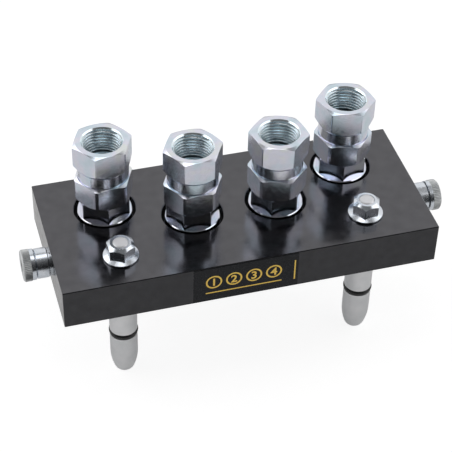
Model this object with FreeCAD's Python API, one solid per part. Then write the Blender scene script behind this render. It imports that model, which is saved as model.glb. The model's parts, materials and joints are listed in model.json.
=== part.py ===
import FreeCAD, Part
import math
import os

# Mobile half of a four-line hydraulic multi-coupling, in millimetres.
# The origin is the centre of the plate's underside, the face that meets the fixed half.
# +X runs along the plate, +Y to its back, and +Z up to the hose ports.

# Clearances, all radial unless the name says otherwise
running_clearance = 0.05
thread_clearance = 0.05
seal_clearance = 0.07
rim_clearance = 0.35
axial_play = 0.3
seat_play = 0.1

# How far a cutting shape reaches past the face that it cuts
overcut = 1.0

# Plate
plate_length = 195.0
plate_width = 83.0
plate_thickness = 23.0
plate_edge_chamfer = 0.35
bore_mouth_chamfer = 0.4

# Places of the couplings: the outer two stand further back, the right one furthest
outer_pitch = 128.5
inner_pitch = 44.5
inner_shift = 0.5
left_setback = 15.5
right_setback = 18.0
inner_setback = 0.0

# How far each coupling has been turned in its bore, as the angle of one hexagon corner
adaptor_turns = (-114.7, -119.4, -138.2, -134.9)
body_turns = (-93.5, -122.3, -115.5, -102.5)

# Stepped bore of the plate
counterbore_radius = 15.9
counterbore_depth = 12.0
barrel_bore_radius = 13.5

# Coupling body: hexagon, rim and flange in the plate, barrel, nose below
body_hex_across_flats = 24.0
body_hex_height = 9.6
body_hex_edge_radius = 0.8
rim_radius = 14.2
rim_chamfer = 0.4
flange_radius = 15.6
flange_thickness = 3.7
nose_radius = 12.25
nose_length = 23.0
nose_chamfer = 1.0

# Retaining ring above the flange
ring_thickness = 1.2
ring_groove_depth = 0.9
ring_end_gap = 3.0

# Port adaptor: two hexagons with a round neck between them, grooved at both ends
adaptor_hex_across_flats = 27.0
mid_hex_height = 13.3
mid_hex_corner_radius = 15.1
neck_height = 7.2
neck_radius = 13.1
neck_groove_height = 0.7
neck_groove_depth = 0.4
top_hex_height = 14.0
adaptor_hex_edge_radius = 1.0
hex_land_inset = 0.15
hex_upper_chamfer_angle = 24.0
hex_lower_chamfer_angle = 45.0

# G1/2 port thread of the adaptor, with a flat root and a wide crest, about half engaged
port_major_diameter = 20.955
port_minor_diameter = 19.75
port_thread_pitch = 1.814
port_thread_flank_angle = 27.5
port_thread_root_width = 0.3
port_thread_overcut = 0.15
port_thread_start = 270.0
port_mouth_diameter = 21.3
port_thread_length = 14.4
port_relief_height = 2.4
port_relief_depth = 0.25
port_drill_point_angle = 59.0

# Flow passage and the spigot that screws the adaptor into the body
passage_radius = 6.25
spigot_radius = 9.0
spigot_length = 12.5
spigot_chamfer = 0.3
spigot_mouth_radius = 7.4
spigot_mouth_depth = 1.2

# Round rubber seals, each given by the radius of its section
adaptor_seal_section = 0.88
body_seal_section = 0.88
nose_seal_section = 0.68
seal_groove_slack = 0.3

# Flat-face valve in the nose
seat_bore_radius = 6.5
seat_land_length = 5.0
chamber_radius = 8.2
guide_thickness = 3.0
guide_hub_radius = 4.4
guide_hub_height = 6.0
guide_hole_count = 6
guide_hole_radius = 1.6
poppet_flange_radius = 7.5
poppet_flange_thickness = 1.2
poppet_boss_height = 3.0
poppet_face_chamfer = 0.3
stem_radius = 3.0
stem_overhang = 1.5
stem_chamfer = 0.5
spring_wire_radius = 0.75
spring_hub_clearance = 0.35
spring_turns = 7.5
spring_wire_sides = 8

# Guide pins, one under each end of the plate's front edge
guide_pin_pitch = 128.5
guide_pin_front_distance = 19.3
guide_pin_radius = 7.25
guide_pin_length = 56.8
guide_pin_nose_length = 14.0
guide_pin_nose_side_radius = 34.0
guide_pin_nose_tip_radius = 4.2
guide_pin_socket_depth = 3.0
guide_pin_ring_depth = 28.2
guide_pin_ring_section = 1.5
guide_pin_ring_stand_out = 0.4
stud_radius = 4.0
stud_stand_out = 0.3
stud_chamfer = 0.7

# Flange nuts on the guide pins' studs
nut_across_flats = 13.0
nut_edge_radius = 0.4
nut_height = 9.3
nut_flange_radius = 8.95
nut_flange_edge = 1.2
nut_flange_chamfer = 0.5
nut_flange_rise = 1.1
nut_flange_top_radius = 6.6
nut_crown_radius = 5.3
nut_crown_angle = 40.0
nut_turns = (-148.5, -112.0)

# Side pins with a knurled head, one in each end of the plate
side_pin_setback = -5.0
side_pin_height = 11.5
side_pin_shank_radius = 5.5
side_pin_thread_radius = 5.0
side_pin_thread_length = 16.0
side_pin_end_chamfer = 1.0
side_pin_hole_extra_depth = 2.0
side_head_radius = 8.25
side_head_band_inset = 0.25
side_head_band_length = 2.2
side_head_knurl_length = 4.3
side_head_chamfer = 0.7
knurl_teeth = 56
knurl_depth = 0.4
side_socket_across_flats = 6.0
side_socket_depth = 3.0
side_washer_radius = 7.2
side_washer_thickness = 0.8
side_roller_radius = 7.75
side_roller_length = 6.2
side_roller_chamfer = 0.3
side_roller_play = 0.3

# Label foil on the front face
label_length = 54.5
label_centre = -4.8
label_margin = 0.3
label_thickness = 0.2

# Places and heights worked out from the sizes above
guide_pin_setback = guide_pin_front_distance - plate_width / 2
plate_top = plate_thickness
shoulder_height = plate_top - counterbore_depth
flange_low = shoulder_height + seat_play
flange_top = flange_low + flange_thickness
ring_low = flange_top + axial_play
ring_top = ring_low + ring_thickness
body_hex_top = plate_top + body_hex_height
mid_hex_top = body_hex_top + mid_hex_height
neck_top = mid_hex_top + neck_height
port_height = neck_top + top_hex_height
spigot_end = body_hex_top - spigot_length
guide_low = spigot_end - guide_thickness
nose_face = -nose_length
seat_top = nose_face + seat_land_length

# Radii worked out from the sizes above
port_major_radius = port_major_diameter / 2
port_minor_radius = port_minor_diameter / 2
port_mouth_radius = port_mouth_diameter / 2
port_mouth_drop = port_mouth_radius - port_minor_radius
barrel_radius = barrel_bore_radius - running_clearance
socket_radius = spigot_radius + thread_clearance
ring_groove_radius = counterbore_radius + ring_groove_depth
spring_radius = guide_hub_radius + spring_hub_clearance + spring_wire_radius

coupling_places = (
    (-outer_pitch / 2, left_setback),
    (inner_shift - inner_pitch / 2, inner_setback),
    (inner_shift + inner_pitch / 2, inner_setback),
    (outer_pitch / 2, right_setback),
)
sides = {"left": -1, "right": 1}
vertical = FreeCAD.Vector(0, 0, 1)
origin = FreeCAD.Vector(0, 0, 0)


def turned(points):
    """A solid turned about Z, from the (radius, height) corners of its half section."""
    corners = [FreeCAD.Vector(radius, 0, height) for radius, height in points]
    face = Part.Face(Part.makePolygon(corners + corners[:1]))
    return face.revolve(origin, vertical, 360)


def cylinder(radius, low, high):
    return Part.makeCylinder(radius, high - low, FreeCAD.Vector(0, 0, low))


def tube(inner_radius, outer_radius, low, high):
    return cylinder(outer_radius, low, high).cut(cylinder(inner_radius, low, high))


def o_ring(centre_radius, section_radius, height):
    return Part.makeTorus(centre_radius, section_radius, FreeCAD.Vector(0, 0, height), vertical)


def prism(corners, low, high):
    """A straight prism on a closed outline of (x, y) corners."""
    outline = [FreeCAD.Vector(x, y, low) for x, y in corners]
    face = Part.Face(Part.makePolygon(outline + outline[:1]))
    return face.extrude(FreeCAD.Vector(0, 0, high - low))


def corner_radius(across_flats):
    return across_flats / math.sqrt(3)


def hexagon(across_flats, low, high):
    """A hexagonal prism with one corner on the +X side."""
    radius = corner_radius(across_flats)
    angles = [math.radians(60 * corner) for corner in range(6)]
    return prism([(radius * math.cos(a), radius * math.sin(a)) for a in angles], low, high)


def hexagon_bar(across_flats, low, high, edge_radius):
    """A hexagonal prism with its upright edges rounded, as drawn bar has them."""
    bar = hexagon(across_flats, low, high)
    upright = [edge for edge in bar.Edges if edge.BoundBox.ZLength > (high - low) / 2]
    return bar.makeFillet(edge_radius, upright)


def adaptor_hexagon(low, high, outer_radius):
    """A hexagon turned down to an outer radius, and to a round land at both ends."""
    bar = hexagon_bar(adaptor_hex_across_flats, low, high, adaptor_hex_edge_radius)
    land_radius = adaptor_hex_across_flats / 2 - hex_land_inset
    width = outer_radius - land_radius
    rise = width * math.tan(math.radians(hex_lower_chamfer_angle))
    drop = width * math.tan(math.radians(hex_upper_chamfer_angle))
    blank = turned([
        (0, low), (land_radius, low), (outer_radius, low + rise),
        (outer_radius, high - drop), (land_radius, high), (0, high),
    ])
    return bar.common(blank)


def neck():
    """The round neck of the adaptor, with a narrow groove at each end."""
    groove_radius = neck_radius - neck_groove_depth
    low = mid_hex_top + neck_groove_height
    high = neck_top - neck_groove_height
    return turned([
        (0, mid_hex_top), (groove_radius, mid_hex_top), (groove_radius, low),
        (neck_radius, low), (neck_radius, high), (groove_radius, high),
        (groove_radius, neck_top), (0, neck_top),
    ])


def arc(centre_x, centre_z, radius, start, end):
    """An arc in the XZ plane between two angles in radians."""
    points = []
    for angle in (start, (start + end) / 2, end):
        x = centre_x + radius * math.cos(angle)
        points.append(FreeCAD.Vector(x, 0, centre_z + radius * math.sin(angle)))
    return Part.Arc(*points).toShape()


def moved(shape, x, y, z=0.0, turn=0.0):
    """A copy turned about Z through its own origin and set down at a place."""
    copy = shape.copy()
    copy.rotate(origin, vertical, turn)
    copy.translate(FreeCAD.Vector(x, y, z))
    return copy


def save(node, *shapes):
    solids = [solid for shape in shapes for solid in shape.Solids]
    result = solids[0] if len(solids) == 1 else Part.makeCompound(solids)
    result.exportStep(os.path.join("parts", node + ".step"))


def plate_bore():
    """What is cut from the plate for one coupling: bores, ring groove and mouth chamfers."""
    beyond = plate_top + overcut
    mouth = counterbore_radius + bore_mouth_chamfer
    foot = barrel_bore_radius + bore_mouth_chamfer
    groove_low = ring_low - running_clearance
    groove_high = ring_top + running_clearance
    return turned([
        (0, -overcut), (foot, -overcut), (foot, 0), (barrel_bore_radius, bore_mouth_chamfer),
        (barrel_bore_radius, shoulder_height), (counterbore_radius, shoulder_height),
        (counterbore_radius, groove_low), (ring_groove_radius, groove_low),
        (ring_groove_radius, groove_high), (counterbore_radius, groove_high),
        (counterbore_radius, plate_top - bore_mouth_chamfer), (mouth, plate_top),
        (mouth, beyond), (0, beyond),
    ])


def guide_pin_hole():
    stud_hole = cylinder(stud_radius + thread_clearance, -overcut, plate_top + overcut)
    socket = cylinder(guide_pin_radius + running_clearance, -overcut, guide_pin_socket_depth)
    return stud_hole.fuse(socket)


def at_plate_end(shape, side):
    """Lay a shape made along +Z onto the side pin's axis, with z = 0 at the plate's end face."""
    placed = shape.copy()
    placed.rotate(origin, FreeCAD.Vector(0, 1, 0), 90 * side)
    placed.translate(FreeCAD.Vector(side * plate_length / 2, side_pin_setback, side_pin_height))
    return placed


def mobile_plate():
    corner = FreeCAD.Vector(-plate_length / 2, -plate_width / 2, 0)
    plate = Part.makeBox(plate_length, plate_width, plate_thickness, corner)
    plate = plate.makeChamfer(plate_edge_chamfer, plate.Edges)
    for x, y in coupling_places:
        plate = plate.cut(moved(plate_bore(), x, y))
    hole_depth = side_pin_thread_length + side_pin_hole_extra_depth
    side_hole = cylinder(side_pin_thread_radius + thread_clearance, -hole_depth, overcut)
    for side in sides.values():
        plate = plate.cut(moved(guide_pin_hole(), side * guide_pin_pitch / 2, guide_pin_setback))
        plate = plate.cut(at_plate_end(side_hole, side))
    return plate


def front_label():
    low = plate_edge_chamfer + label_margin
    height = plate_thickness - 2 * low
    corner = FreeCAD.Vector(label_centre - label_length / 2, -plate_width / 2 - label_thickness, low)
    return Part.makeBox(label_length, label_thickness, height, corner)


def coupling_body():
    """Hexagon, rim, flange, barrel and nose in one piece, hollow from end to end."""
    outside = turned([
        (0, nose_face), (nose_radius - nose_chamfer, nose_face),
        (nose_radius, nose_face + nose_chamfer), (nose_radius, 0), (barrel_radius, 0),
        (barrel_radius, flange_low), (flange_radius, flange_low), (flange_radius, flange_top),
        (rim_radius, flange_top), (rim_radius, plate_top - rim_chamfer),
        (rim_radius - rim_chamfer, plate_top), (0, plate_top),
    ])
    body_hex = hexagon_bar(body_hex_across_flats, plate_top, body_hex_top, body_hex_edge_radius)
    body = outside.fuse(body_hex)
    cone_height = chamber_radius - seat_bore_radius
    seal_recess = 2 * adaptor_seal_section + 2 * seal_clearance
    hollow = turned([
        (0, nose_face - overcut), (seat_bore_radius, nose_face - overcut),
        (seat_bore_radius, seat_top),
        (chamber_radius, seat_top + cone_height), (chamber_radius, guide_low),
        (socket_radius, guide_low), (socket_radius, body_hex_top - seal_recess),
        (socket_radius + seal_recess, body_hex_top - seal_recess),
        (socket_radius + seal_recess, body_hex_top + overcut), (0, body_hex_top + overcut),
    ])
    body = body.cut(hollow)
    return body.cut(nose_seal_groove()).cut(body_seal_groove())


def nose_seal_height():
    return nose_face + seat_land_length / 2


def body_seal_height():
    return shoulder_height / 2


def nose_seal_groove():
    half = nose_seal_section + seal_groove_slack / 2
    floor = seat_bore_radius + 2 * nose_seal_section + seal_clearance
    height = nose_seal_height()
    return tube(seat_bore_radius - overcut, floor, height - half, height + half)


def body_seal_groove():
    half = body_seal_section + seal_groove_slack / 2
    floor = barrel_bore_radius - 2 * body_seal_section - 2 * seal_clearance
    height = body_seal_height()
    return tube(floor, barrel_bore_radius + overcut, height - half, height + half)


def nose_seal():
    return o_ring(seat_bore_radius + nose_seal_section, nose_seal_section, nose_seal_height())


def body_seal():
    centre = barrel_bore_radius - seal_clearance - body_seal_section
    return o_ring(centre, body_seal_section, body_seal_height())


def adaptor_seal():
    centre = socket_radius + adaptor_seal_section
    return o_ring(centre, adaptor_seal_section, body_hex_top - seal_clearance - adaptor_seal_section)


def retaining_ring():
    """Split ring that sits in the plate's groove and holds the flange down."""
    ring = tube(rim_radius + rim_clearance, ring_groove_radius - seal_clearance, ring_low, ring_top)
    length = 2 * ring_groove_radius
    corner = FreeCAD.Vector(0, -ring_end_gap / 2, ring_low - overcut)
    return ring.cut(Part.makeBox(length, ring_end_gap, ring_thickness + 2 * overcut, corner))


def port_thread():
    """The helical groove of the port, from the middle of the relief to the middle of the mouth."""
    depth = port_major_radius - port_minor_radius
    root_half = port_thread_root_width / 2
    flank = math.tan(math.radians(port_thread_flank_angle))
    mouth_half = root_half + (depth + port_thread_overcut) * flank
    inner_radius = port_minor_radius - port_thread_overcut
    low = port_relief_low() + port_relief_height / 2
    high = port_height - port_mouth_drop / 2
    helix = Part.makeHelix(port_thread_pitch, high - low, inner_radius)
    helix.translate(FreeCAD.Vector(0, 0, low))
    profile = [
        FreeCAD.Vector(inner_radius, 0, low - mouth_half),
        FreeCAD.Vector(port_major_radius, 0, low - root_half),
        FreeCAD.Vector(port_major_radius, 0, low + root_half),
        FreeCAD.Vector(inner_radius, 0, low + mouth_half),
    ]
    section = Part.makePolygon(profile + profile[:1])
    groove = Part.Wire(helix.Edges).makePipeShell([section], True, True)
    return moved(groove, 0, 0, turn=port_thread_start)


def port_relief_low():
    return port_height - port_thread_length - port_relief_height


def port_hollow():
    """The mouth, the minor bore, the relief, the drill point and the flow passage."""
    relief_radius = port_major_radius + port_relief_depth
    relief_low = port_relief_low()
    relief_top = relief_low + port_relief_height
    point = (port_minor_radius - passage_radius) / math.tan(math.radians(port_drill_point_angle))
    return turned([
        (0, spigot_end - overcut), (spigot_mouth_radius, spigot_end - overcut),
        (spigot_mouth_radius, spigot_end), (passage_radius, spigot_end + spigot_mouth_depth),
        (passage_radius, relief_low - point), (port_minor_radius, relief_low),
        (relief_radius, relief_low), (relief_radius, relief_top),
        (port_minor_radius, relief_top), (port_minor_radius, port_height - port_mouth_drop),
        (port_mouth_radius, port_height), (port_mouth_radius, port_height + overcut),
        (0, port_height + overcut),
    ])


def port_adaptor():
    """Two chamfered hexagons on a round neck, a spigot below and the threaded port on top."""
    mid_hex = adaptor_hexagon(body_hex_top, mid_hex_top, mid_hex_corner_radius)
    whole_corner = corner_radius(adaptor_hex_across_flats) + overcut
    top_hex = adaptor_hexagon(neck_top, port_height, whole_corner)
    spigot = turned([
        (0, spigot_end), (spigot_radius - spigot_chamfer, spigot_end),
        (spigot_radius, spigot_end + spigot_chamfer), (spigot_radius, body_hex_top),
        (0, body_hex_top),
    ])
    blank = mid_hex.fuse([neck(), top_hex, spigot])
    return blank.cut(port_hollow()).cut(port_thread())


def valve_guide():
    """Drilled disc that the spigot clamps in the body, with a hub that carries the stem."""
    disc = cylinder(spigot_radius, guide_low, spigot_end)
    hub = cylinder(guide_hub_radius, spigot_end, guide_low + guide_hub_height)
    guide = disc.fuse(hub)
    stem_bore_radius = stem_radius + running_clearance
    guide = guide.cut(cylinder(stem_bore_radius, guide_low - overcut, body_hex_top))
    pitch_radius = guide_hub_radius + guide_hole_radius
    for number in range(guide_hole_count):
        angle = math.radians(360 / guide_hole_count * number)
        hole = cylinder(guide_hole_radius, guide_low - overcut, spigot_end + overcut)
        guide = guide.cut(moved(hole, pitch_radius * math.cos(angle), pitch_radius * math.sin(angle)))
    return guide


def poppet_cone_top():
    return seat_top + axial_play + poppet_flange_radius - seat_bore_radius


def spring_foot():
    return poppet_cone_top() + poppet_flange_thickness


def valve_poppet():
    """Flat face flush with the nose, a cone that stops on the seat, a boss and a long stem."""
    head_radius = seat_bore_radius - running_clearance
    cone_low = seat_top + axial_play - running_clearance
    stem_top = guide_low + guide_hub_height + stem_overhang
    boss_top = spring_foot() + poppet_boss_height
    return turned([
        (0, nose_face), (head_radius - poppet_face_chamfer, nose_face),
        (head_radius, nose_face + poppet_face_chamfer), (head_radius, cone_low),
        (poppet_flange_radius, poppet_cone_top()), (poppet_flange_radius, spring_foot()),
        (guide_hub_radius, spring_foot()), (guide_hub_radius, boss_top), (stem_radius, boss_top),
        (stem_radius, stem_top - stem_chamfer), (stem_radius - stem_chamfer, stem_top),
        (0, stem_top),
    ])


def valve_spring():
    """Helical spring between the poppet's flange and the guide, of wire with flats all round."""
    low = spring_foot() + spring_wire_radius + seal_clearance
    high = guide_low - spring_wire_radius - seal_clearance
    helix = Part.makeHelix((high - low) / spring_turns, high - low, spring_radius)
    helix.translate(FreeCAD.Vector(0, 0, low))
    corners = []
    for number in range(spring_wire_sides):
        angle = 2 * math.pi * (number + 0.5) / spring_wire_sides
        radius = spring_radius + spring_wire_radius * math.cos(angle)
        corners.append(FreeCAD.Vector(radius, 0, low + spring_wire_radius * math.sin(angle)))
    section = Part.makePolygon(corners + corners[:1])
    return Part.Wire(helix.Edges).makePipeShell([section], True, True)


def guide_pin_ring_radius():
    return guide_pin_radius + guide_pin_ring_stand_out - guide_pin_ring_section


def guide_pin():
    """Straight pin with a bullet nose, a ring groove, and a stud up through the plate."""
    tip = -guide_pin_length
    nose_top = tip + guide_pin_nose_length
    side_centre = guide_pin_radius - guide_pin_nose_side_radius
    centres_apart = guide_pin_nose_side_radius - guide_pin_nose_tip_radius
    centres_drop = guide_pin_nose_length - guide_pin_nose_tip_radius
    meeting = -math.asin(centres_drop / centres_apart)
    tip_centre = side_centre + centres_apart * math.cos(meeting)
    side = arc(side_centre, nose_top, guide_pin_nose_side_radius, meeting, 0)
    point = arc(tip_centre, tip + guide_pin_nose_tip_radius, guide_pin_nose_tip_radius,
                -math.pi / 2, meeting)
    stud_top = plate_top + nut_height + stud_stand_out
    corners = [
        (guide_pin_radius, nose_top), (guide_pin_radius, guide_pin_socket_depth),
        (stud_radius, guide_pin_socket_depth), (stud_radius, stud_top - stud_chamfer),
        (stud_radius - stud_chamfer, stud_top), (0, stud_top), (0, tip), (tip_centre, tip),
    ]
    straight = Part.makePolygon([FreeCAD.Vector(radius, 0, height) for radius, height in corners])
    outline = Part.Wire([point, side] + straight.Edges)
    pin = Part.Face(outline).revolve(origin, vertical, 360)
    half = guide_pin_ring_section + seal_groove_slack / 2
    floor = guide_pin_ring_radius() - guide_pin_ring_section - seal_clearance
    low = -guide_pin_ring_depth - half
    return pin.cut(tube(floor, guide_pin_radius + overcut, low, low + 2 * half))


def guide_pin_ring():
    return o_ring(guide_pin_ring_radius(), guide_pin_ring_section, -guide_pin_ring_depth)


def flange_nut():
    """Hexagon nut on a round flange, with a low crown turned on its top."""
    edge_top = plate_top + nut_flange_edge
    rise_top = edge_top + nut_flange_rise
    nut_top = plate_top + nut_height
    flange = turned([
        (0, plate_top), (nut_flange_radius - nut_flange_chamfer, plate_top),
        (nut_flange_radius, plate_top + nut_flange_chamfer), (nut_flange_radius, edge_top),
        (nut_flange_top_radius, rise_top), (0, rise_top),
    ])
    limit = corner_radius(nut_across_flats) + overcut
    drop = (limit - nut_crown_radius) * math.tan(math.radians(nut_crown_angle))
    crown = turned([
        (0, plate_top), (limit, plate_top), (limit, nut_top - drop),
        (nut_crown_radius, nut_top), (0, nut_top),
    ])
    bar = hexagon_bar(nut_across_flats, plate_top, nut_top, nut_edge_radius)
    nut = bar.common(crown).fuse(flange)
    thread_bore_radius = stud_radius + thread_clearance
    return nut.cut(cylinder(thread_bore_radius, plate_top - overcut, nut_top + overcut))


def side_roller_low():
    return side_washer_thickness + side_roller_play


def side_head_low():
    return side_roller_low() + side_roller_length + side_roller_play


def side_pin():
    """Screw with a knurled head and a plain shank, made along +Z from the plate's end face."""
    head_low = side_head_low()
    band_top = head_low + side_head_band_length
    head_top = band_top + side_head_knurl_length
    band_radius = side_head_radius - side_head_band_inset
    stem = turned([
        (0, -side_pin_thread_length),
        (side_pin_thread_radius - side_pin_end_chamfer, -side_pin_thread_length),
        (side_pin_thread_radius, side_pin_end_chamfer - side_pin_thread_length),
        (side_pin_thread_radius, 0),
        (side_pin_shank_radius, 0), (side_pin_shank_radius, head_low),
        (band_radius - side_roller_chamfer, head_low),
        (band_radius, head_low + side_roller_chamfer), (band_radius, band_top), (0, band_top),
    ])
    teeth = []
    for number in range(2 * knurl_teeth):
        angle = math.pi * number / knurl_teeth
        radius = side_head_radius - knurl_depth * (number % 2)
        teeth.append((radius * math.cos(angle), radius * math.sin(angle)))
    limit = side_head_radius + overcut
    end_radius = side_head_radius - side_head_chamfer
    envelope = turned([
        (0, band_top), (band_radius, band_top), (limit, band_top + limit - band_radius),
        (limit, head_top + end_radius - limit), (end_radius, head_top), (0, head_top),
    ])
    knurl = prism(teeth, band_top, head_top).common(envelope)
    socket = hexagon(side_socket_across_flats, head_top - side_socket_depth, head_top + overcut)
    return stem.fuse(knurl).cut(socket)


def side_roller():
    low = side_roller_low()
    top = low + side_roller_length
    bore = side_pin_shank_radius + running_clearance
    edge = side_roller_radius - side_roller_chamfer
    return turned([
        (bore, low), (edge, low), (side_roller_radius, low + side_roller_chamfer),
        (side_roller_radius, top - side_roller_chamfer), (edge, top), (bore, top),
    ])


def side_washer():
    bore = side_pin_shank_radius + running_clearance
    return tube(bore, side_washer_radius, 0, side_washer_thickness)


os.makedirs("parts", exist_ok=True)

save("mobile_plate", mobile_plate())
save("front_label", front_label())

# One set of pieces for each coupling, turned as it stands in its bore
pieces_by_turn = {
    "port_adaptor": (port_adaptor(), adaptor_turns),
    "coupling_body": (coupling_body(), body_turns),
    "adaptor_seal": (adaptor_seal(), adaptor_turns),
    "body_seal": (body_seal(), body_turns),
    "nose_seal": (nose_seal(), body_turns),
    "retaining_ring": (retaining_ring(), body_turns),
    "valve_guide": (valve_guide(), body_turns),
    "valve_spring": (valve_spring(), body_turns),
    "valve_poppet": (valve_poppet(), body_turns),
}
for piece, (shape, turns) in pieces_by_turn.items():
    for number, (x, y) in enumerate(coupling_places):
        save(f"{piece}_{number + 1}", moved(shape, x, y, turn=turns[number]))

nuts = []
for (name, side), turn in zip(sides.items(), nut_turns):
    x = side * guide_pin_pitch / 2
    save(f"guide_pin_{name}", moved(guide_pin(), x, guide_pin_setback))
    save(f"guide_pin_ring_{name}", moved(guide_pin_ring(), x, guide_pin_setback))
    nuts.append(moved(flange_nut(), x, guide_pin_setback, turn=turn))
    save(f"side_pin_{name}", at_plate_end(side_pin(), side))
    save(f"side_roller_{name}", at_plate_end(side_roller(), side))
    save(f"side_washer_{name}", at_plate_end(side_washer(), side))
save("guide_pin_nuts", *nuts)
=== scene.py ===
import cmath
import json
import math

import bmesh
import bpy
from mathutils import Matrix, Vector

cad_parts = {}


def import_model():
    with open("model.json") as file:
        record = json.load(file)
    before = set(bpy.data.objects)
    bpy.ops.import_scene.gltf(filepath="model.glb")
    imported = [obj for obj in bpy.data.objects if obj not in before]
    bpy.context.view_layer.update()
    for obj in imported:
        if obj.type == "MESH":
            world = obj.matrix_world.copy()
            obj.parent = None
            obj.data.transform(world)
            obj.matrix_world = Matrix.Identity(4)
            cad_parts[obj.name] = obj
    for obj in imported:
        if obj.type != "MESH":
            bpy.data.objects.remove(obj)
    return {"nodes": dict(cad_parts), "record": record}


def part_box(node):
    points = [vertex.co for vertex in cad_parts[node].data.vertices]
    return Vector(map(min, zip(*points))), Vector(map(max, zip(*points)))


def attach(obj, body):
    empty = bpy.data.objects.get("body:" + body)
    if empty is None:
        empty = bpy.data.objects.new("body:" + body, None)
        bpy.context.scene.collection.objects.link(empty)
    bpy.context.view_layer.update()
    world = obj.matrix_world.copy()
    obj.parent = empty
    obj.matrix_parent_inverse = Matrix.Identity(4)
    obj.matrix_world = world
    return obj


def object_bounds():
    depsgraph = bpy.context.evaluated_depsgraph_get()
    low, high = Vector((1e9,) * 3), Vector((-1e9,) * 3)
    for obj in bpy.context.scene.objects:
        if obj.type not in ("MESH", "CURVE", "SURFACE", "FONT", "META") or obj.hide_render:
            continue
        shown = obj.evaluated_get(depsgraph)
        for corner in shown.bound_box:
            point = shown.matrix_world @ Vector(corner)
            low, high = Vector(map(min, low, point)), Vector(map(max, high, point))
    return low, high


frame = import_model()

cad_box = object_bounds()
plate_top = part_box("mobile_plate")[1].z
label_low, label_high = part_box("front_label")
floor_height = cad_box[0].z

# Camera, in degrees and metres, aimed at the middle of the plate's top
camera_azimuth = -16.893
camera_elevation = 42.093
camera_roll = 1.644
camera_distance = 0.771683
camera_offset_right = -0.003728
camera_offset_up = -0.010283
camera_lens = 119.302
camera_sensor = 36.0

# The dark curtain behind the camera: metres away, and degrees up and to each side. It lies on
# the floor from its hem to its foot.
curtain_hem_distance = 0.34
curtain_distance = 1.5
curtain_high = 76.0
curtain_half_angle = 58.0
curtain_steps = 24
curtain_floor_gap = 0.001

# How the curtain brightens upwards, as (degrees up, level)
curtain_levels = ((8, 0.012), (22, 0.035), (35, 0.08), (49, 0.17), (62, 0.30), (76, 0.45))

# Print on the label, in millimetres: four numbered rings, a rule below and one at the end
ring_count = 4
ring_pitch = 10.4
ring_radius = 4.2
ring_line = 0.85
ring_height = 1.4
ring_steps = 64
digit_size = 6.8
digit_drop = 2.35
digit_weight = 0.16
rule_length = 39.6
rule_height = -5.6
rule_line = 0.7
end_rule_length = 13.0
end_rule_inset = 1.8
print_shift = -1.2
print_thickness = 0.02
print_sink = 0.005
print_weld = 0.001

# G1/2 port thread, in millimetres and degrees: rounded crests on the wide lands of the CAD thread
thread_pitch = 1.814
thread_major_radius = 10.4775
thread_minor_radius = 9.3155
thread_flank_angle = 27.5
thread_rounding = 0.137329
thread_sink = 0.03
thread_root_tolerance = 0.02
thread_turn_steps = 72
thread_arc_steps = 6

# Where the side pins' knurl starts to either side, and the guide pins' studs upwards, in
# millimetres
knurl_length = 4.3
knurl_start = cad_box[1].x * 1000 - knurl_length
stud_start = plate_top * 1000

# How far the inside of a port reaches from its axis, within which the coat is painted paler as a
# painted highlight, and the height up to which the coat is that of the coupling bodies, in
# millimetres
port_wall_radius = 10.8
body_hexagon_top = 32.0

# How deep the grain of all coats would be at a strength of 1, in metres
bump_depth = 0.00001

# Light levels, where 1 is white
backdrop_level = 1.0
mirrored_level = 0.85
ambient_level = 0.55
overhead_level = 1.5
left_level = 0.9
right_level = 0.62

# The lights, in metres and degrees to the camera's right and up
overhead_place = (-0.05, 0.04, 1.1)
overhead_size = (0.45, 0.5)
left_turn = -100
right_turn = 90
side_light_height = 40
side_light_distance = 1.3
side_light_size = (1.3, 0.75)

# The ceiling, in metres
ceiling_half_width = 0.75
ceiling_height = 1.35
ceiling_grey = 0.5

# The floor: its reach in metres, its own grey and what is added to it, for the camera and for
# mirrored rays
floor_reach = 6.0
floor_grey_seen = 0.35
floor_grey_mirrored = 0.75
floor_lift_seen = 0.82
floor_lift_mirrored = 0.14


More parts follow.
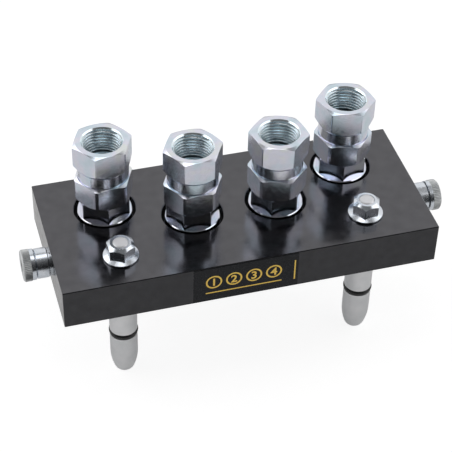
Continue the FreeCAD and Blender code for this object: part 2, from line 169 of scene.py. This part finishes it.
class Shader:
    """A node material built up by short calls."""

    def __init__(self, name):
        self.material = bpy.data.materials.new(name)
        self.material.use_nodes = True
        self.tree = self.material.node_tree
        self.surface = self.tree.nodes["Principled BSDF"]

    def node(self, kind, **settings):
        """A new node with the given settings."""
        made = self.tree.nodes.new(kind)
        for key, value in settings.items():
            setattr(made, key, value)
        return made

    def link(self, source, target):
        self.tree.links.new(source, target)

    def set(self, **values):
        """Fixed values for the surface's inputs."""
        for name, value in values.items():
            self.surface.inputs[name.replace("_", " ")].default_value = value

    def place(self, stretch=(1.0, 1.0, 1.0), origin=(0.0, 0.0, 0.0)):
        """Object coordinates in millimetres from an origin, stretched along each axis."""
        coordinates = self.node("ShaderNodeTexCoord")
        mapping = self.node("ShaderNodeMapping")
        mapping.inputs["Scale"].default_value = [1000.0 * factor for factor in stretch]
        mapping.inputs["Location"].default_value = [
            -factor * value for factor, value in zip(stretch, origin)]
        self.link(coordinates.outputs["Object"], mapping.inputs["Vector"])
        return mapping.outputs["Vector"]

    def noise(self, size, detail=2.0, stretch=(1.0, 1.0, 1.0)):
        """Noise with features of about the given size in millimetres."""
        made = self.node("ShaderNodeTexNoise")
        made.inputs["Scale"].default_value = 1.0 / size
        made.inputs["Detail"].default_value = detail
        self.link(self.place(stretch), made.inputs["Vector"])
        return made.outputs["Fac"]

    def ramp(self, factor, *stops):
        """A colour ramp through (position, colour) stops."""
        made = self.node("ShaderNodeValToRGB")
        ramp = made.color_ramp
        while len(ramp.elements) < len(stops):
            ramp.elements.new(0.5)
        for element, (position, colour) in zip(ramp.elements, stops):
            element.position = position
            element.color = (*colour, 1.0)
        self.link(factor, made.inputs["Fac"])
        return made.outputs["Color"]

    def between(self, factor, low, high):
        """A value that runs from low to high as the factor runs from 0.3 to 0.7."""
        made = self.node("ShaderNodeMapRange")
        made.inputs["From Min"].default_value = 0.3
        made.inputs["From Max"].default_value = 0.7
        made.inputs["To Min"].default_value = low
        made.inputs["To Max"].default_value = high
        self.link(factor, made.inputs["Value"])
        return made.outputs["Result"]

    def bump(self, height, strength, below=None):
        """Bump of a height between 0 and 1, where given on top of another bump."""
        made = self.node("ShaderNodeBump")
        made.inputs["Strength"].default_value = strength
        made.inputs["Distance"].default_value = bump_depth
        self.link(height, made.inputs["Height"])
        if below is not None:
            self.link(below, made.inputs["Normal"])
        return made.outputs["Normal"]

    def along(self, axis):
        """The place along an axis in millimetres."""
        split = self.node("ShaderNodeSeparateXYZ")
        self.link(self.place(), split.inputs[0])
        return split.outputs[axis]

    def math(self, operation, first, second=None):
        """One step of arithmetic on a source and, where given, a number."""
        made = self.node("ShaderNodeMath", operation=operation)
        self.link(first, made.inputs[0])
        if second is not None:
            made.inputs[1].default_value = second
        return made.outputs[0]

    def choose(self, factor, first, second, kind="FLOAT"):
        """The first source where the factor is 0, and the second where it is 1."""
        made = self.node("ShaderNodeMix", data_type=kind)
        self.link(factor, made.inputs["Factor"])
        self.link(first, made.inputs["A"])
        self.link(second, made.inputs["B"])
        return made.outputs["Result"]

    def wire(self, **sources):
        """Sources for the surface's inputs."""
        for name, source in sources.items():
            self.link(source, self.surface.inputs[name.replace("_", " ")])


def zinc_plated(number, x, y):
    """Blue-passivated zinc: a satin mirror with a faint play of colours and fine draw lines.

    The port at x, y in millimetres is painted paler, a painted highlight that lifts its shaded
    bore, and is without draw lines; the body is sharper."""
    made = Shader(f"zinc_plated_{number}")
    across = made.node("ShaderNodeVectorMath", operation="LENGTH")
    made.link(made.place(stretch=(1.0, 1.0, 0.0), origin=(x, y, 0.0)), across.inputs[0])
    port = made.math("LESS_THAN", across.outputs["Value"], port_wall_radius)
    body = made.math("LESS_THAN", made.along("Z"), body_hexagon_top)
    outside = made.ramp(
        made.noise(11.0, detail=3.0), (0.32, (0.63, 0.74, 0.81)), (0.44, (0.71, 0.78, 0.87)),
        (0.54, (0.78, 0.78, 0.88)), (0.66, (0.79, 0.82, 0.82)))
    # Painted highlight: the inside of the port is painted paler than the outside, to lift its
    # shaded bore.
    inside = made.ramp(made.noise(5.0), (0.35, (0.80, 0.90, 0.94)), (0.65, (0.88, 0.95, 1.0)))
    cloud = made.noise(2.0, detail=4.0)
    sharp = made.between(cloud, 0.12, 0.18)
    satin = made.between(cloud, 0.18, 0.25)
    threaded = made.between(cloud, 0.17, 0.22)
    plain = made.node("ShaderNodeNewGeometry").outputs["Normal"]
    normal = made.bump(made.noise(0.45), 0.08)
    streaks = made.noise(0.35, detail=1.0, stretch=(1.0, 1.0, 0.05))
    normal = made.bump(streaks, 0.10, below=normal)
    made.set(Metallic=1.0)
    made.wire(
        Base_Color=made.choose(port, outside, inside, kind="RGBA"),
        Roughness=made.choose(port, made.choose(body, satin, sharp), threaded),
        Normal=made.choose(port, normal, plain, kind="VECTOR"))
    return made.material


def bright_zinc():
    """The nuts and side pins: the same plating, paler, and dull on the pins' knurl."""
    made = Shader("bright_zinc")
    knurl = made.math("GREATER_THAN", made.math("ABSOLUTE", made.along("X")), knurl_start)
    plain = made.ramp(
        made.noise(4.0, detail=3.0), (0.35, (0.70, 0.75, 0.81)), (0.65, (0.78, 0.81, 0.86)))
    dull = made.ramp(
        made.noise(1.5, detail=3.0), (0.35, (0.66, 0.68, 0.69)), (0.65, (0.78, 0.79, 0.79)))
    smooth = made.between(made.noise(1.2, detail=4.0), 0.20, 0.28)
    rough = made.between(made.noise(1.2, detail=4.0), 0.50, 0.60)
    made.set(Metallic=1.0)
    made.wire(
        Base_Color=made.choose(knurl, plain, dull, kind="RGBA"),
        Roughness=made.choose(knurl, smooth, rough),
        Normal=made.bump(made.noise(0.35), 0.08))
    return made.material


def ground_steel():
    """Ground guide pins: satin, with fine rings around the axis and a plated stud end."""
    made = Shader("ground_steel")
    stud = made.math("GREATER_THAN", made.along("Z"), stud_start)
    cloud = made.noise(9.0, detail=4.0)
    ground = made.ramp(cloud, (0.3, (0.72, 0.73, 0.74)), (0.7, (0.82, 0.82, 0.83)))
    plated = made.ramp(cloud, (0.3, (0.88, 0.88, 0.90)), (0.7, (0.94, 0.94, 0.95)))
    rings = made.noise(0.25, detail=1.0, stretch=(0.05, 0.05, 1.0))
    satin = made.between(made.noise(2.0, detail=4.0), 0.30, 0.40)
    dull = made.between(made.noise(1.0, detail=4.0), 0.55, 0.65)
    made.set(Metallic=1.0)
    made.wire(
        Base_Color=made.choose(stud, ground, plated, kind="RGBA"),
        Roughness=made.choose(stud, satin, dull), Normal=made.bump(rings, 0.12))
    return made.material


def black_anodised():
    """Black anodised block: a dark, faintly grained coat, with painted light by facing: its ground
    top is painted lighter and its sides painted darker, for how brightly each face mirrors the
    studio.
    """
    made = Shader("black_anodised")
    cloud = made.noise(6.0, detail=5.0)
    # Painted light: a lighter colour for the top and a darker one for the sides, picked below by
    # which way each face points, for how brightly each face mirrors the studio.
    top = made.ramp(cloud, (0.3, (0.108, 0.107, 0.114)), (0.7, (0.128, 0.127, 0.135)))
    side = made.ramp(cloud, (0.3, (0.054, 0.054, 0.057)), (0.7, (0.066, 0.066, 0.070)))
    painted_light_facing = made.node("ShaderNodeTexCoord")
    split = made.node("ShaderNodeSeparateXYZ")
    made.link(painted_light_facing.outputs["Normal"], split.inputs[0])
    tint = made.choose(made.math("ABSOLUTE", split.outputs["Z"]), side, top, kind="RGBA")
    grain = made.noise(0.35, detail=3.0)
    roughness = made.between(made.noise(4.0, detail=5.0), 0.12, 0.20)
    made.set(Metallic=1.0)
    made.wire(Base_Color=tint, Roughness=roughness, Normal=made.bump(grain, 0.10))
    return made.material


def label_foil():
    """Smooth black foil, glossy without a hard glare."""
    made = Shader("label_foil")
    tint = made.ramp(
        made.noise(8.0), (0.3, (0.004, 0.005, 0.007)), (0.7, (0.007, 0.008, 0.011)))
    roughness = made.between(made.noise(2.0, detail=3.0), 0.22, 0.30)
    made.set(IOR=1.32)
    made.wire(Base_Color=tint, Roughness=roughness, Normal=made.bump(made.noise(0.5), 0.05))
    return made.material


def gold_print():
    """Matt gold ink."""
    made = Shader("gold_print")
    tint = made.ramp(
        made.noise(3.0, detail=3.0), (0.3, (0.95, 0.60, 0.10)), (0.7, (1.0, 0.70, 0.13)))
    roughness = made.between(made.noise(1.0), 0.40, 0.50)
    made.wire(Base_Color=tint, Roughness=roughness)
    return made.material


def plain_metal(name, dark, light, smooth, rough):
    """Turned steel without a coat, between two greys."""
    made = Shader(name)
    tint = made.ramp(made.noise(4.0, detail=3.0), (0.3, dark), (0.7, light))
    roughness = made.between(made.noise(1.0, detail=3.0), smooth, rough)
    normal = made.bump(made.noise(0.3, stretch=(0.3, 0.3, 1.0)), 0.10)
    made.set(Metallic=1.0)
    made.wire(Base_Color=tint, Roughness=roughness, Normal=normal)
    return made.material


def black_rubber():
    """Black rubber with a faint sheen and grain."""
    made = Shader("black_rubber")
    tint = made.ramp(
        made.noise(2.0, detail=3.0), (0.3, (0.008, 0.008, 0.008)), (0.7, (0.014, 0.014, 0.014)))
    roughness = made.between(made.noise(0.8, detail=3.0), 0.28, 0.42)
    made.wire(Base_Color=tint, Roughness=roughness, Normal=made.bump(made.noise(0.3), 0.15))
    return made.material


materials = {
    "bright_zinc": bright_zinc(),
    "ground_steel": ground_steel(),
    "black_anodised": black_anodised(),
    "label_foil": label_foil(),
    "valve_steel": plain_metal(
        "valve_steel", (0.50, 0.51, 0.53), (0.62, 0.63, 0.64), 0.20, 0.30),
    "spring_steel": plain_metal(
        "spring_steel", (0.34, 0.34, 0.36), (0.44, 0.44, 0.46), 0.25, 0.35),
    "black_steel": plain_metal(
        "black_steel", (0.015, 0.015, 0.016), (0.03, 0.03, 0.032), 0.35, 0.45),
    "black_rubber": black_rubber(),
}
ports = {mount["name"][-1]: mount for mount in frame["record"]["mounts"]
         if mount["name"].startswith("port_")}
plated = {number: zinc_plated(number, 1000 * port["pos_m"][0], 1000 * port["pos_m"][1])
          for number, port in ports.items()}
for entry in frame["record"]["subparts"]:
    mesh = frame["nodes"][entry["node"]].data
    mesh.materials.clear()
    if entry["material_slot"] == "zinc_plated_steel":
        mesh.materials.append(plated[entry["node"][-1]])
    else:
        mesh.materials.append(materials[entry["material_slot"]])


def annulus(outer, inner, x, y):
    """Corners and faces of a thin flat ring around (x, y)."""
    corners = []
    steps = ring_steps
    for radius in (outer, inner):
        for height in (0.0, print_thickness):
            for step in range(steps):
                angle = 2 * math.pi * step / steps
                corners.append((x + radius * math.cos(angle), y + radius * math.sin(angle), height))
    faces = []
    for step in range(steps):
        after = (step + 1) % steps
        low_out, high_out, low_in, high_in = (
            (row * steps + step, row * steps + after) for row in range(4))
        faces.append((high_out[0], high_out[1], high_in[1], high_in[0]))
        faces.append((low_in[0], low_in[1], low_out[1], low_out[0]))
        faces.append((low_out[0], low_out[1], high_out[1], high_out[0]))
        faces.append((high_in[0], high_in[1], low_in[1], low_in[0]))
    return corners, faces


def bar(width, height, x, y):
    """Corners and faces of a thin flat bar around (x, y)."""
    corners = [
        (x + side * width / 2, y + end * height / 2, level)
        for level in (0.0, print_thickness) for side, end in ((-1, -1), (1, -1), (1, 1), (-1, 1))]
    faces = [(3, 2, 1, 0), (4, 5, 6, 7), (0, 1, 5, 4), (1, 2, 6, 5), (2, 3, 7, 6), (3, 0, 4, 7)]
    return corners, faces


def digit(text, x, y):
    """Corners and faces of one printed digit whose foot is at (x, y)."""
    curve = bpy.data.curves.new("digit", "FONT")
    curve.body = text
    curve.size = digit_size
    curve.align_x = "CENTER"
    curve.extrude = print_thickness / 2
    curve.offset = digit_weight
    made = bpy.data.objects.new("digit", curve)
    mesh = bpy.data.meshes.new_from_object(made)
    corners = [(v.co.x + x, v.co.y + y, v.co.z + print_thickness / 2) for v in mesh.vertices]
    faces = [tuple(face.vertices) for face in mesh.polygons]
    bpy.data.objects.remove(made)
    bpy.data.curves.remove(curve)
    bpy.data.meshes.remove(mesh)
    return corners, faces


def label_print():
    """Gold numbers 1 to 4 in rings, for the four lines, with a rule below and one at the end."""
    shapes = []
    for place in range(ring_count):
        x = print_shift + (place - (ring_count - 1) / 2) * ring_pitch
        shapes.append(annulus(ring_radius, ring_radius - ring_line, x, ring_height))
        shapes.append(digit(str(place + 1), x, ring_height - digit_drop))
    shapes.append(bar(rule_length, rule_line, print_shift, rule_height))
    end = 1000 * (label_high.x - label_low.x) / 2 - end_rule_inset
    shapes.append(bar(rule_line, end_rule_length, end, 0))
    mesh = bpy.data.meshes.new("label_print")
    build = bmesh.new()
    for corners, faces in shapes:
        made = [build.verts.new([value / 1000 for value in corner]) for corner in corners]
        for face in faces:
            build.faces.new([made[index] for index in face])
    bmesh.ops.remove_doubles(build, verts=build.verts, dist=print_weld / 1000)
    bmesh.ops.recalc_face_normals(build, faces=build.faces)
    build.to_mesh(mesh)
    build.free()
    made = bpy.data.objects.new("label_print", mesh)
    bpy.context.collection.objects.link(made)
    made.rotation_euler.x = math.pi / 2
    middle = (label_low + label_high) / 2
    made.location = (middle.x, label_low.y + print_sink / 1000, middle.z)
    mesh.materials.append(gold_print())
    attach(made, "root")


def thread_groove_height(node, x, y):
    """Where the groove of a port's CAD thread crosses the angle zero, between 0 and one pitch."""
    total = 0
    world = node.matrix_world
    for vertex in node.data.vertices:
        place = (world @ vertex.co) * 1000
        radius = math.hypot(place.x - x, place.y - y)
        if abs(radius - thread_major_radius) < thread_root_tolerance:
            angle = math.atan2(place.y - y, place.x - x)
            total += cmath.exp(1j * (2 * math.pi * place.z / thread_pitch - angle))
    return cmath.phase(total) * thread_pitch / (2 * math.pi)


def crest_outline(land_radius):
    """A crest's section as (radius, height), from one foot over the rounded top to the other."""
    flank = math.radians(thread_flank_angle)
    depth = thread_rounding * thread_pitch
    centre = thread_minor_radius + depth
    apex = centre - depth / math.sin(flank)
    foot = land_radius + thread_sink
    half = (foot - apex) * math.tan(flank)
    outline = [(foot, -half)]
    for step in range(thread_arc_steps + 1):
        angle = (math.pi / 2 - flank) * (2 * step / thread_arc_steps - 1)
        outline.append((centre - depth * math.cos(angle), depth * math.sin(angle)))
    outline.append((foot, half))
    return outline


def thread_crests(number, port):
    """The helical crests of one port's thread, turned away at the mouth's chamfer."""
    x, y, middle = (1000 * value for value in port["pos_m"])
    land_radius = port["dims"]["r_mm"]
    half_length = port["dims"]["length_mm"] / 2
    mouth_low = middle + half_length
    outline = crest_outline(land_radius)
    node = frame["nodes"][f"port_adaptor_{number}"]
    start = thread_groove_height(node, x, y) + thread_pitch / 2
    low = middle - half_length + outline[-1][1]
    first = math.ceil((low - start) / thread_pitch * thread_turn_steps)
    last = math.floor((mouth_low - start) / thread_pitch * thread_turn_steps)
    build = bmesh.new()
    rows = []
    for step in range(first, last + 1):
        angle = 2 * math.pi * step / thread_turn_steps
        centre = start + thread_pitch * step / thread_turn_steps
        row = []
        for radius, height in outline:
            cone = land_radius + centre + height - mouth_low
            radius = max(radius, min(cone, outline[0][0]))
            row.append(build.verts.new((
                (x + radius * math.cos(angle)) / 1000, (y + radius * math.sin(angle)) / 1000,
                (centre + height) / 1000)))
        rows.append(row)
    for near, far in zip(rows, rows[1:]):
        for place in range(len(near)):
            build.faces.new((near[place - 1], near[place], far[place], far[place - 1]))
    build.faces.new(rows[0])
    build.faces.new(rows[-1])
    bmesh.ops.recalc_face_normals(build, faces=build.faces)
    mesh = bpy.data.meshes.new(f"port_thread_{number}")
    build.to_mesh(mesh)
    build.free()
    mesh.shade_smooth()
    made = bpy.data.objects.new(f"port_thread_{number}", mesh)
    bpy.context.collection.objects.link(made)
    mesh.materials.append(plated[number])
    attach(made, f"coupling_{number}")


def camera():
    """The camera fitted to the photo."""
    azimuth, elevation, roll = (
        math.radians(angle) for angle in (camera_azimuth, camera_elevation, camera_roll))
    back = Vector((
        math.sin(azimuth) * math.cos(elevation), -math.cos(azimuth) * math.cos(elevation),
        math.sin(elevation)))
    level_right = (-back).cross(Vector((0, 0, 1))).normalized()
    level_up = level_right.cross(-back)
    right = level_right * math.cos(roll) + level_up * math.sin(roll)
    up = level_up * math.cos(roll) - level_right * math.sin(roll)
    target = Vector((0, 0, plate_top))
    made = bpy.data.objects.new("camera", bpy.data.cameras.new("camera"))
    bpy.context.collection.objects.link(made)
    made.data.lens = camera_lens
    made.data.sensor_width = camera_sensor
    eye = target + back * camera_distance + right * camera_offset_right + up * camera_offset_up
    turn = Matrix((right, up, back)).transposed()
    made.matrix_world = Matrix.Translation(eye) @ turn.to_4x4()
    bpy.context.scene.camera = made


def softbox(name, place, size, level):
    """An even panel of light aimed at the origin, whose surface has the given level."""
    width, height = size
    light = bpy.data.lights.new(name, "AREA")
    light.shape = "RECTANGLE"
    light.size = width
    light.size_y = height
    light.energy = level * math.pi * width * height
    made = bpy.data.objects.new(name, light)
    bpy.context.collection.objects.link(made)
    made.location = place
    made.rotation_euler = (-Vector(place)).to_track_quat("-Z", "Y").to_euler()


def world():
    """White to the camera, a little darker in mirrored rays and darker still as soft light."""
    made = bpy.data.worlds.new("studio")
    bpy.context.scene.world = made
    made.use_nodes = True
    tree = made.node_tree
    background = tree.nodes["Background"]
    path = tree.nodes.new("ShaderNodeLightPath")
    level = None
    rays = (("Is Glossy Ray", mirrored_level), ("Is Transmission Ray", mirrored_level),
            ("Is Camera Ray", backdrop_level))
    for ray, value in rays:
        choice = tree.nodes.new("ShaderNodeMix")
        tree.links.new(path.outputs[ray], choice.inputs["Factor"])
        choice.inputs["A"].default_value = ambient_level
        choice.inputs["B"].default_value = value
        if level is not None:
            tree.links.new(level, choice.inputs["A"])
        level = choice.outputs["Result"]
    background.inputs["Color"].default_value = (1, 1, 1, 1)
    tree.links.new(level, background.inputs["Strength"])


def lifted(shader, seen, mirrored):
    """What is added to the floor: one level for camera rays, another for mirrored ones."""
    path = shader.node("ShaderNodeLightPath")
    bent = shader.node("ShaderNodeMath", operation="MAXIMUM")
    shader.link(path.outputs["Is Glossy Ray"], bent.inputs[0])
    shader.link(path.outputs["Is Transmission Ray"], bent.inputs[1])
    total = shader.node("ShaderNodeMath", operation="MULTIPLY_ADD")
    total.inputs[1].default_value = seen
    shader.link(path.outputs["Is Camera Ray"], total.inputs[0])
    shader.link(shader.math("MULTIPLY", bent.outputs[0], mirrored), total.inputs[2])
    return total.outputs[0]


def sheet(name, corners, faces):
    """A part of the studio, given by its corners."""
    mesh = bpy.data.meshes.new(name)
    mesh.from_pydata(corners, [], faces)
    made = bpy.data.objects.new(name, mesh)
    bpy.context.collection.objects.link(made)
    return made


def square(half, height):
    """The corners of a level square, anticlockwise from above."""
    return [(-half, -half, height), (half, -half, height), (half, half, height),
            (-half, half, height)]


def floor():
    """A white floor under the guide pins, which shows a faint shadow."""
    made = sheet("floor", square(floor_reach, floor_height), [(0, 1, 2, 3)])
    shader = Shader("floor")
    shader.tree.nodes.remove(shader.surface)
    path = shader.node("ShaderNodeLightPath")
    grey = shader.node("ShaderNodeMix")
    grey.inputs["A"].default_value = floor_grey_mirrored
    grey.inputs["B"].default_value = floor_grey_seen
    shader.link(path.outputs["Is Camera Ray"], grey.inputs["Factor"])
    diffuse = shader.node("ShaderNodeBsdfDiffuse")
    shader.link(grey.outputs["Result"], diffuse.inputs["Color"])
    glow = shader.node("ShaderNodeEmission")
    shader.link(lifted(shader, floor_lift_seen, floor_lift_mirrored), glow.inputs["Strength"])
    both = shader.node("ShaderNodeAddShader")
    shader.link(diffuse.outputs[0], both.inputs[0])
    shader.link(glow.outputs[0], both.inputs[1])
    shader.link(both.outputs[0], shader.tree.nodes["Material Output"].inputs["Surface"])
    made.data.materials.append(shader.material)


def around(turn, height, distance):
    """A place in the studio: degrees to the camera's right, degrees up, and metres away."""
    azimuth = math.radians(camera_azimuth + turn)
    level = distance * math.cos(math.radians(height))
    return (level * math.sin(azimuth), -level * math.cos(azimuth),
            distance * math.sin(math.radians(height)))


def ceiling():
    """A grey ceiling, which the chamfers mirror."""
    made = sheet("ceiling", square(ceiling_half_width, ceiling_height), [(3, 2, 1, 0)])
    made.visible_camera = False
    shader = Shader("ceiling")
    shader.set(Base_Color=(ceiling_grey, ceiling_grey, ceiling_grey, 1), Roughness=0.9)
    made.data.materials.append(shader.material)


def curtain():
    """A dark curtain round the camera's side of the studio, which only the metal mirrors."""
    steps = curtain_steps
    foot = math.degrees(math.asin(floor_height / curtain_distance))
    hem = math.degrees(math.asin(floor_height / curtain_hem_distance))
    corners = []
    for height, distance in ((hem, curtain_hem_distance), (foot, curtain_distance),
                             (curtain_high, curtain_distance)):
        for step in range(steps + 1):
            x, y, z = around(curtain_half_angle * (2 * step / steps - 1), height, distance)
            corners.append((x, y, z + curtain_floor_gap))
    row = steps + 1
    faces = [(start + step, start + step + 1, start + row + step + 1, start + row + step)
             for start in (0, row) for step in range(steps)]
    made = sheet("curtain", corners, faces)
    made.visible_camera = False
    made.visible_diffuse = False
    made.visible_shadow = False
    shader = Shader("curtain")
    shader.set(Base_Color=(0, 0, 0, 1), Roughness=0.9, Emission_Strength=1.0)
    height = shader.math("DIVIDE", shader.along("Z"), 1000 * curtain_distance)
    stops = [(math.sin(math.radians(angle)), (level, level, level))
             for angle, level in curtain_levels]
    shader.wire(Emission_Color=shader.ramp(height, *stops))
    made.data.materials.append(shader.material)


label_print()
for number, port in ports.items():
    thread_crests(number, port)
camera()
world()
floor()
curtain()
ceiling()
softbox("overhead", overhead_place, overhead_size, overhead_level)
for name, turn, level in (("left", left_turn, left_level), ("right", right_turn, right_level)):
    place = around(turn, side_light_height, side_light_distance)
    softbox(name, place, side_light_size, level)
bpy.context.scene.view_settings.view_transform = "Standard"
